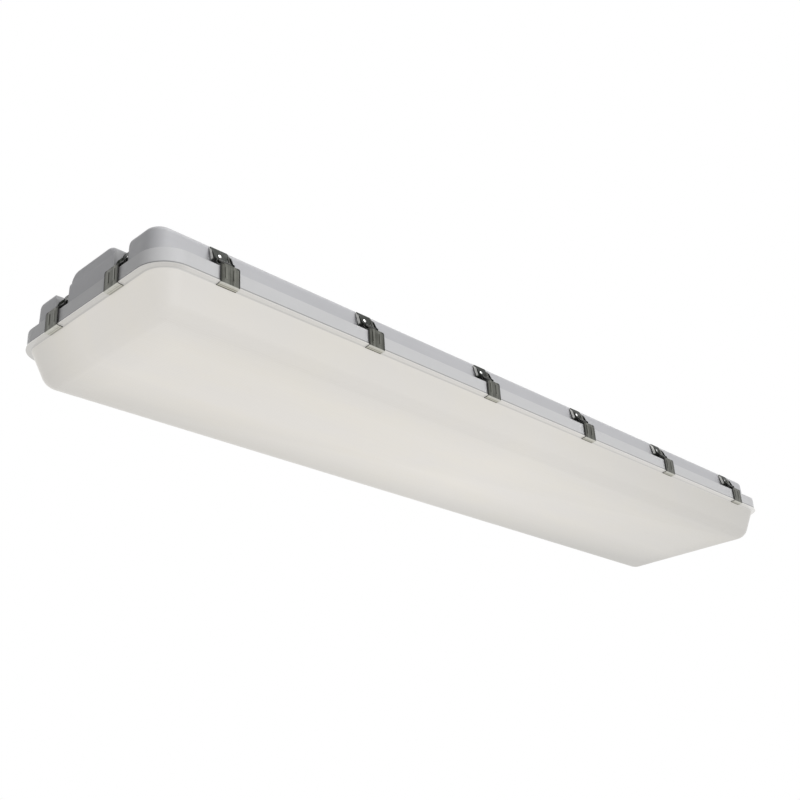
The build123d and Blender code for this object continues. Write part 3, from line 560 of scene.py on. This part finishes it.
class Tree:
    """A Geometry Nodes tree in the making, with named inputs for its sizes."""

    def __init__(self, name, **asked):
        self.group = bpy.data.node_groups.new(name, "GeometryNodeTree")
        self.offer("Geometry", "OUTPUT", "Geometry")
        self.keys = {}
        for label, kind in asked.items():
            label = label.replace("_", " ")
            self.keys[label] = self.offer(label, "INPUT", kind).identifier
        self.inlet = self.group.nodes.new("NodeGroupInput")

    def offer(self, label, way, kind):
        """A socket of the whole tree."""
        kind = f"NodeSocket{kind}"
        return self.group.interface.new_socket(label, in_out=way, socket_type=kind)

    def ask(self, label):
        return self.inlet.outputs[label]

    def add(self, kind, settings=None, inputs=None, out=0):
        """Any node: its settings first, then the values or links of its sockets."""
        node = self.group.nodes.new(kind)
        for name, value in (settings or {}).items():
            setattr(node, name, value)
        for key, value in (inputs or {}).items():
            if isinstance(value, bpy.types.NodeSocket):
                self.group.links.new(value, node.inputs[key])
            else:
                node.inputs[key].default_value = value
        return node.outputs[out]

    def math(self, operation, first, second):
        return self.add("ShaderNodeMath", {"operation": operation}, {0: first, 1: second})

    def span(self, count, pitch):
        """Length of a row from its count and its pitch."""
        return self.math("MULTIPLY", self.math("SUBTRACT", self.ask(count), 1.0), self.ask(pitch))

    def grid(self, long, wide, pitch_long, pitch_wide):
        """Points of a rectangle of places."""
        inputs = {
            "Size X": self.span(long, pitch_long),
            "Size Y": self.span(wide, pitch_wide),
            "Vertices X": self.ask(long),
            "Vertices Y": self.ask(wide),
        }
        return self.add("GeometryNodeMeshGrid", inputs=inputs)

    def shape(self):
        """The geometry of the object that the tree repeats."""
        return self.add("GeometryNodeObjectInfo", inputs={"Object": self.ask("Shape")}, out=4)

    def repeat(self, points, instance, turn=None):
        """An instance on every point."""
        inputs = {"Points": points, "Instance": instance}
        if turn is not None:
            inputs["Rotation"] = turn
        return self.add("GeometryNodeInstanceOnPoints", inputs=inputs)

    def close(self, geometry):
        """The end of the tree: real geometry in its finish."""
        shown = self.add("GeometryNodeRealizeInstances", inputs={0: geometry})
        inputs = {0: shown, "Material": self.ask("Finish")}
        shown = self.add("GeometryNodeSetMaterial", inputs=inputs)
        outlet = self.group.nodes.new("NodeGroupOutput")
        self.group.links.new(shown, outlet.inputs[0])
        return self


def fastener_grid():
    """Groups of a shape in rows, such as the screws of every board; each is turned by chance."""
    tree = Tree(
        "fastener_grid", Shape="Object", Finish="Material", Place="Vector",
        Turn="Float", Seed="Int",
        Groups_Long="Int", Groups_Wide="Int", Group_Pitch_Long="Float", Group_Pitch_Wide="Float",
        Items_Long="Int", Items_Wide="Int", Item_Pitch_Long="Float", Item_Pitch_Wide="Float",
    )
    groups = tree.grid("Groups Long", "Groups Wide", "Group Pitch Long", "Group Pitch Wide")
    items = tree.grid("Items Long", "Items Wide", "Item Pitch Long", "Item Pitch Wide")
    spots = tree.add("GeometryNodeRealizeInstances", inputs={0: tree.repeat(groups, items)})
    chance = {2: 0.0, 3: tree.ask("Turn"), "Seed": tree.ask("Seed")}
    turn = tree.add("FunctionNodeRandomValue", {"data_type": "FLOAT"}, chance, out=1)
    about = tree.add("ShaderNodeCombineXYZ", inputs={"Z": turn})
    made = tree.repeat(spots, tree.shape(), about)
    moved = {0: made, "Translation": tree.ask("Place")}
    return tree.close(tree.add("GeometryNodeTransform", inputs=moved))


def latch_grid():
    """A shape, or a row of it, at every latch, turned to the side that the latch is on."""
    tree = Tree(
        "latch_grid", Geometry="Geometry", Shape="Object", Finish="Material",
        Items="Int", Pitch="Float", One="Int",
    )
    row = tree.repeat(tree.grid("Items", "One", "Pitch", "Pitch"), tree.shape())
    vector = {"data_type": "FLOAT_VECTOR"}
    side = tree.add("GeometryNodeInputNamedAttribute", vector, {"Name": "side"})
    return tree.close(tree.repeat(tree.ask("Geometry"), row, side))


def thread_helix():
    """Thread ridge that winds along the hub's entry."""
    tree = Tree(
        "thread_helix", Finish="Material", Place="Vector",
        Radius="Float", Depth="Float", Length="Float", Turns="Float",
    )
    inputs = {"Resolution": 36, "Rotations": tree.ask("Turns"), "Height": tree.ask("Length")}
    inputs.update({"Start Radius": tree.ask("Radius"), "End Radius": tree.ask("Radius")})
    helix = tree.add("GeometryNodeCurveSpiral", inputs=inputs)
    section = {"Resolution": 4, "Radius": tree.ask("Depth")}
    ridge = tree.add("GeometryNodeCurvePrimitiveCircle", inputs=section)
    swept = {"Curve": helix, "Profile Curve": ridge, "Fill Caps": True}
    made = tree.add("GeometryNodeCurveToMesh", inputs=swept)
    laid = {0: made, "Translation": tree.ask("Place"), "Rotation": (0.0, pi / 2, 0.0)}
    return tree.close(tree.add("GeometryNodeTransform", inputs=laid))


def grow(tree, name, finish, slot, replaced, base=None, **sizes):
    """Run a tree with its sizes, keep the result as a plain mesh and fix it to the fixture."""
    holder = placed(name, base or bpy.data.meshes.new(name))
    modifier = holder.modifiers.new(name, "NODES")
    modifier.node_group = tree.group
    sizes["Finish"] = finishes[finish]
    for label, value in sizes.items():
        modifier[tree.keys[label.replace("_", " ")]] = value
    mesh = evaluated_mesh(holder)
    holder.modifiers.remove(modifier)
    holder.data = mesh
    mesh.set_sharp_from_angle(angle=GROWN_SHARP)
    if "Shape" in sizes:
        bpy.data.objects.remove(sizes["Shape"])
    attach(holder, "fixture")
    if replaced:
        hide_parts(replaced)


def shape_of(name, made):
    """A helper object around a finished bmesh, for a tree to repeat."""
    bmesh.ops.remove_doubles(made, verts=made.verts, dist=0.0005 * MM)
    bmesh.ops.recalc_face_normals(made, faces=made.faces)
    mesh = bpy.data.meshes.new(name)
    made.to_mesh(mesh)
    made.free()
    shade_smooth(mesh)
    return placed(name, mesh)


def ring(made, radius, height, steps):
    """Vertices in a ring about the Z axis; radius and height in millimetres."""
    angles = [2 * pi * k / steps for k in range(steps)]
    spots = [(radius * MM * cos(a), radius * MM * sin(a), height * MM) for a in angles]
    return [made.verts.new(spot) for spot in spots]


def turned(made, profile, segments=20):
    """Add a closed turned solid to a bmesh: (radius, height) stations in mm, axis to axis."""
    rings = []
    for radius, height in profile:
        rings.append(ring(made, radius, height, segments if radius else 1))
    for low, high in zip(rings, rings[1:]):
        for k in range(segments):
            lower = (low[k % len(low)], low[(k + 1) % len(low)])
            upper = (high[(k + 1) % len(high)], high[k % len(high)])
            made.faces.new(list(dict.fromkeys(lower + upper)))


def cross_screw(name, head, shank, upward):
    """Pan-head screw with a cross recess and a thread; upward is where its head points.

    Head and shank are (radius, length), in millimetres.
    """
    (head_radius, head_height), (shank_radius, shank_length) = head, shank
    made = bmesh.new()
    thread = []
    reach = shank_length - SCREW_TIP
    turns = int(reach / THREAD_PITCH)
    for k in range(turns):
        low = -reach + k * reach / turns
        thread += [(shank_radius * THREAD_ROOT, low), (shank_radius, low + reach / turns * 0.5)]
    dome = [(1.0, 0), (1.0, 0.35), (0.9, 0.72), (0.66, 0.93), (0.4, 1.0), (0, 1.0)]
    dome = [(head_radius * across, head_height * up) for across, up in dome]
    turned(made, [(0, -shank_length), *thread, (shank_radius * 0.9, 0), *dome])
    screw = shape_of(name, made)

    # Two crossed blocks, narrower at their lower end, cut the recess.
    cutter = bmesh.new()
    slim, long, deep = head_radius * 0.2, head_radius * 1.1, head_height * 0.6
    for along_x, along_y in ((long, slim), (slim, long)):
        for vert in bmesh.ops.create_cube(cutter, size=1.0)["verts"]:
            taper = 0.45 if vert.co.z < 0 else 1.0
            depth = head_height + vert.co.z * 2 * deep
            spot = (vert.co.x * along_x * taper, vert.co.y * along_y * taper, depth)
            vert.co = Vector(spot) * MM
    cross = shape_of(f"{name}_cross", cutter)
    cut = screw.modifiers.new("cross", "BOOLEAN")
    cut.object = cross
    cut.operation = "DIFFERENCE"
    cut.solver = "EXACT"
    cut.use_self = True
    mesh = evaluated_mesh(screw)
    screw.modifiers.remove(cut)
    bpy.data.objects.remove(cross)
    if not upward:
        mesh.transform(Matrix.Rotation(pi, 4, "X"))
    screw.data = mesh
    return screw


def hexagon_bolt(name):
    """Bolt with a chamfered hexagon head at its lower end and a threaded tip."""
    made = bmesh.new()
    # Radii, and heights over the joint, in millimetres.
    head_low, chamfer, head_high = 48.0, 0.7, 52.0
    corner = 5.0 / cos(radians(30))
    radius, root, thread_low, tip = 3.0, 2.72, 55.0, 63.5
    stations = ((head_low, 0.86), (head_low + chamfer, 1.0), (head_high, 1.0))
    rings = [ring(made, corner * share, height, 6) for height, share in stations]
    for lower, upper in zip(rings, rings[1:]):
        for k in range(6):
            made.faces.new((lower[k], lower[(k + 1) % 6], upper[(k + 1) % 6], upper[k]))
    made.faces.new(rings[0])
    made.faces.new(rings[-1])
    thread = []
    for k in range(9):
        low = thread_low + k * THREAD_PITCH
        thread += [(root, low), (radius, low + THREAD_PITCH / 2)]
    shank = [(0, head_high - 0.5), (radius, head_high - 0.5), (radius, thread_low - 0.2)]
    turned(made, [*shank, *thread, (2.5, tip), (0, tip)])
    return shape_of(name, made)


def led_package():
    """One light source: a small block with a sunk window, facing down."""
    made = bmesh.new()
    bmesh.ops.create_cube(made, size=1.0)
    for vert in made.verts:
        vert.co = Vector((vert.co.x * 5.0, vert.co.y * 3.0, vert.co.z * 0.7)) * MM
    face = min(made.faces, key=lambda f: f.calc_center_median().z)
    bmesh.ops.inset_region(made, faces=[face], thickness=0.35 * MM, depth=0.0)
    bmesh.ops.inset_region(made, faces=[face], thickness=0.1 * MM, depth=-0.14 * MM)
    return shape_of("led_package", made)


fasteners = fastener_grid()
at_latches = latch_grid()


def fasten(name, finish, slot, replaced, shape, height, turn, seed, groups, items):
    """Fasteners where the solids of a CAD node stand.

    Height is over the joint and turn is the greatest turn by chance. Groups, and the items of
    each, are (count along, count across, pitch along, pitch across), in millimetres.
    """
    sizes = {"Shape": shape, "Place": (0, 0, JOINT + height * MM), "Turn": turn, "Seed": seed}
    for label, (long, wide, pitch_long, pitch_wide) in (("Group", groups), ("Item", items)):
        sizes.update({f"{label}s_Long": long, f"{label}_Pitch_Long": pitch_long * MM})
        sizes.update({f"{label}s_Wide": wide, f"{label}_Pitch_Wide": pitch_wide * MM})
    grow(fasteners, name, finish, slot, replaced, **sizes)


fasten("light_sources", "led_phosphor", "led_phosphor", "led_packages", led_package(),
       height=10.05, turn=0.0, seed=1, groups=(2, 2, 600, 112), items=(24, 1, 22.5, 0))
fasten("board_cross_screws", "zinc_steel", "zinc_steel", "board_screws",
       cross_screw("board_screw", head=(2.8, 1.8), shank=(1.5, 3.2), upward=False),
       height=10.4, turn=3.0, seed=2, groups=(2, 2, 600, 112), items=(2, 2, 540, 30))
fasten("tray_cross_screws", "zinc_steel", "zinc_steel", "tray_screws",
       cross_screw("tray_screw", head=(3.6, 2.4), shank=(1.7, 13.0), upward=False),
       height=12, turn=3.0, seed=3, groups=(2, 2, 730, 216), items=(2, 1, 365, 0))
fasten("driver_cross_screws", "zinc_steel", "zinc_steel", "driver_screws",
       cross_screw("driver_screw", head=(4.0, 2.4), shank=(2.0, 4.2), upward=True),
       height=14.2, turn=3.0, seed=4, groups=(2, 1, 400, 0), items=(2, 2, 320, 40))
fasten("bracket_hexagon_bolts", "zinc_steel", "stainless", "bracket_bolts",
       hexagon_bolt("bracket_bolt"),
       height=0, turn=1.0, seed=5, groups=(2, 2, 800, 174), items=(1, 1, 0, 0))

# Every latch: its place on the outline of the rim and its turn, in the order of their numbers.
side_row = [(2 * k + 1 - SIDE_LATCHES) * LATCH_HALF_PITCH for k in range(SIDE_LATCHES)]
latch_spots = [(x, -HALF_WIDTH, 0.0) for x in side_row]
latch_spots += [(HALF_LENGTH, y, pi / 2) for y in (-END_LATCH, END_LATCH)]
latch_spots += [(-x, -y, turn + pi) for x, y, turn in latch_spots]


def spot_mesh(name):
    """A vertex at every latch, which carries the turn of its side."""
    mesh = bpy.data.meshes.new(name)
    mesh.from_pydata([(x, y, JOINT) for x, y, _ in latch_spots], [], [])
    side = mesh.attributes.new("side", "FLOAT_VECTOR", "POINT")
    for item, (_, _, turn) in zip(side.data, latch_spots):
        item.vector = (0, 0, turn)
    return mesh


# Profiles of rivet, pin and button: (radius, height) in millimetres.
RIVET = [(0, 12.2), (1.5, 12.2), (1.6, 12.6), (1.6, 19.0), (2.8, 19.0), (2.8, 19.2), (2.55, 19.6),
         (2.0, 19.98), (1.25, 20.2), (1.0, 20.18), (0.9, 19.9), (0.62, 19.9), (0.58, 20.05),
         (0, 20.1)]
PIN_HEAD = [(1.25, 12.85), (2.0, 12.85), (2.0, 13.15), (1.6, 13.4), (0.8, 13.45), (0, 13.45)]
BUTTON = [(0, -0.9), (1.9, -0.9), (1.9, 0), (2.3, 0), (2.3, 0.2), (1.9, 0.5), (1.2, 0.75),
          (0, 0.85)]
BUTTON_RISE = 15.5 * MM  # from the foot of the lever's plate, along it

rivet = bmesh.new()
turned(rivet, RIVET)
bmesh.ops.translate(rivet, verts=rivet.verts, vec=(0, PIN_INSET, 0))
grow(at_latches, "latch_blind_rivets", "bracket_steel", "stainless", "latch_rivets",
     base=spot_mesh("rivet_spots"), Shape=shape_of("rivet", rivet), Items=2, Pitch=10 * MM, One=1)

pin = bmesh.new()
turned(pin, [(radius, -place) for radius, place in reversed(PIN_HEAD)] + PIN_HEAD)
quarter = Matrix.Rotation(pi / 2, 3, "Y")
bmesh.ops.rotate(pin, verts=pin.verts, cent=(0, 0, 0), matrix=quarter)
bmesh.ops.translate(pin, verts=pin.verts, vec=(0, PIN_INSET, PIN_HEIGHT))
grow(at_latches, "latch_headed_pins", "stainless", "stainless", "latch_pins",
     base=spot_mesh("pin_spots"), Shape=shape_of("pin", pin), Items=1, Pitch=0.0, One=1)

plate_run = Vector((0, LEVER_LEAN, 1.0)).normalized()
across = Vector((1, 0, 0))
plate_turn = Matrix((across, plate_run, across.cross(plate_run))).transposed().to_4x4()
button_place = Vector((0, LEVER_INSET, LEVER_FOOT)) + plate_run * BUTTON_RISE
seat = Matrix.Translation(button_place) @ plate_turn
for number, (x, y, turn) in zip(LATCHES, latch_spots):
    button = bmesh.new()
    turned(button, BUTTON, 24)
    thing = shape_of(f"lever_button_{number:02d}", button)
    latch = Matrix.Translation((x, y, JOINT)) @ Matrix.Rotation(turn, 4, "Z")
    thing.data.transform(latch @ seat)
    thing.data.materials.append(finishes["polished_steel"])
    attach(thing, f"lever_{number:02d}")

grow(thread_helix(), "hub_entry_thread", "cast_zinc", "cast_zinc", None,
     Place=(646.4 * MM, 0, JOINT + 38 * MM), Radius=9.95 * MM, Depth=0.6 * MM,
     Length=13.6 * MM, Turns=7.5)

slots = {part["node"]: part["material_slot"] for part in subparts}
for name in (
    "conduit_hub", "hub_locknut", "gear_tray", "terminal_block", "led_driver_1", "led_driver_2",
):
    dressed(name, slots[name], "fixture", 0.3 * MM)


def aim_camera():
    """The view that the fixture is shown from, by its heading, tilt, roll and place."""
    heading, tilt, roll = radians(47.7), radians(24.8), radians(-3.5)
    place = (-1195.4 * MM, -960.9 * MM, -697.7 * MM)
    sensor, focal_pixels, width_pixels = 36.0, 1116.7, 800
    forward = Vector((sin(heading) * cos(tilt), cos(heading) * cos(tilt), sin(tilt)))
    level_right = forward.cross(Vector((0, 0, 1))).normalized()
    level_up = level_right.cross(forward)
    right = level_right * cos(roll) + level_up * sin(roll)
    up = level_up * cos(roll) - level_right * sin(roll)
    eye = bpy.data.cameras.new("view")
    eye.sensor_width = sensor
    eye.lens = sensor * focal_pixels / width_pixels
    eye.clip_end = 100.0
    camera = placed("view", eye)
    turn = Matrix((right, up, -forward)).transposed().to_4x4()
    camera.matrix_world = Matrix.Translation(place) @ turn
    bpy.context.scene.camera = camera


def soft_lamp(name, place, target, size, power):
    """Square area lamp aimed at a point."""
    lamp = bpy.data.lights.new(name, "AREA")
    lamp.size = size
    lamp.energy = power
    thing = placed(name, lamp)
    thing.location = place
    aim = Vector(target) - Vector(place)
    thing.rotation_euler = aim.to_track_quat("-Z", "Y").to_euler()
    thing.visible_camera = False


def white_surroundings(lighting, seen_level):
    """A white world: of one level where it is seen or mirrored, of another where it lights."""
    world = bpy.data.worlds.new("studio")
    bpy.context.scene.world = world
    world.use_nodes = True
    add, link = world.node_tree.nodes.new, world.node_tree.links.new
    world.node_tree.nodes.clear()
    sky = add("ShaderNodeBackground")
    sky.inputs["Color"].default_value = (*WHITE, 1.0)
    path = add("ShaderNodeLightPath")
    seen = path.outputs["Is Camera Ray"]
    for kind in ("Glossy", "Transmission"):
        either = add("ShaderNodeMath")
        either.operation = "MAXIMUM"
        link(seen, either.inputs[0])
        link(path.outputs[f"Is {kind} Ray"], either.inputs[1])
        seen = either.outputs[0]
    level = add("ShaderNodeMapRange")
    link(seen, level.inputs[0])
    level.inputs[3].default_value = lighting
    level.inputs[4].default_value = seen_level
    link(level.outputs[0], sky.inputs["Strength"])
    link(sky.outputs[0], add("ShaderNodeOutputWorld").inputs[0])


def pale_floor(depth, reach):
    """A floor well below the fixture, which goes over into the white of the world."""
    mesh = bpy.data.meshes.new("floor")
    corners = [(-reach, -reach), (reach, -reach), (reach, reach), (-reach, reach)]
    mesh.from_pydata([(x, y, -depth) for x, y in corners], [], [(0, 1, 2, 3)])
    finish = Finish("pale_floor", roughness=0.9, Specular_IOR_Level=0.0, Emission_Strength=1.0)
    cloud = finish.noise(finish.spot, 2.0, 2.0)
    away = finish.add("ShaderNodeVectorMath", {"operation": "LENGTH"}, {0: finish.spot}, out=1)
    fade = finish.spread(away, 1.7, 2.95)
    kinds = ("Camera", "Glossy", "Transmission")
    ray = [finish.add("ShaderNodeLightPath", out=f"Is {kind} Ray") for kind in kinds]
    seen = finish.most(finish.most(ray[0], ray[1]), ray[2])
    mottled = finish.tint(cloud, (0.80, 0.80, 0.80), (0.83, 0.83, 0.83))
    glow = finish.tint(seen, BLACK, finish.tint(fade, (0.50, 0.50, 0.50), WHITE))
    finish.set(Base_Color=finish.tint(fade * seen, mottled, BLACK), Emission_Color=glow)
    mesh.materials.append(finish.material)
    return placed("floor", mesh)


aim_camera()
soft_lamp("front_lamp", (-0.4, -2.8, -0.8), target=(0, 0, -0.05), size=3.0, power=44)
soft_lamp("top_lamp", (0.0, -1.4, 2.6), target=(0, 0, 0), size=2.0, power=50)
white_surroundings(lighting=0.30, seen_level=1.0)
floor = pale_floor(depth=1.5, reach=6.0)

bpy.context.scene.view_settings.view_transform = "Standard"
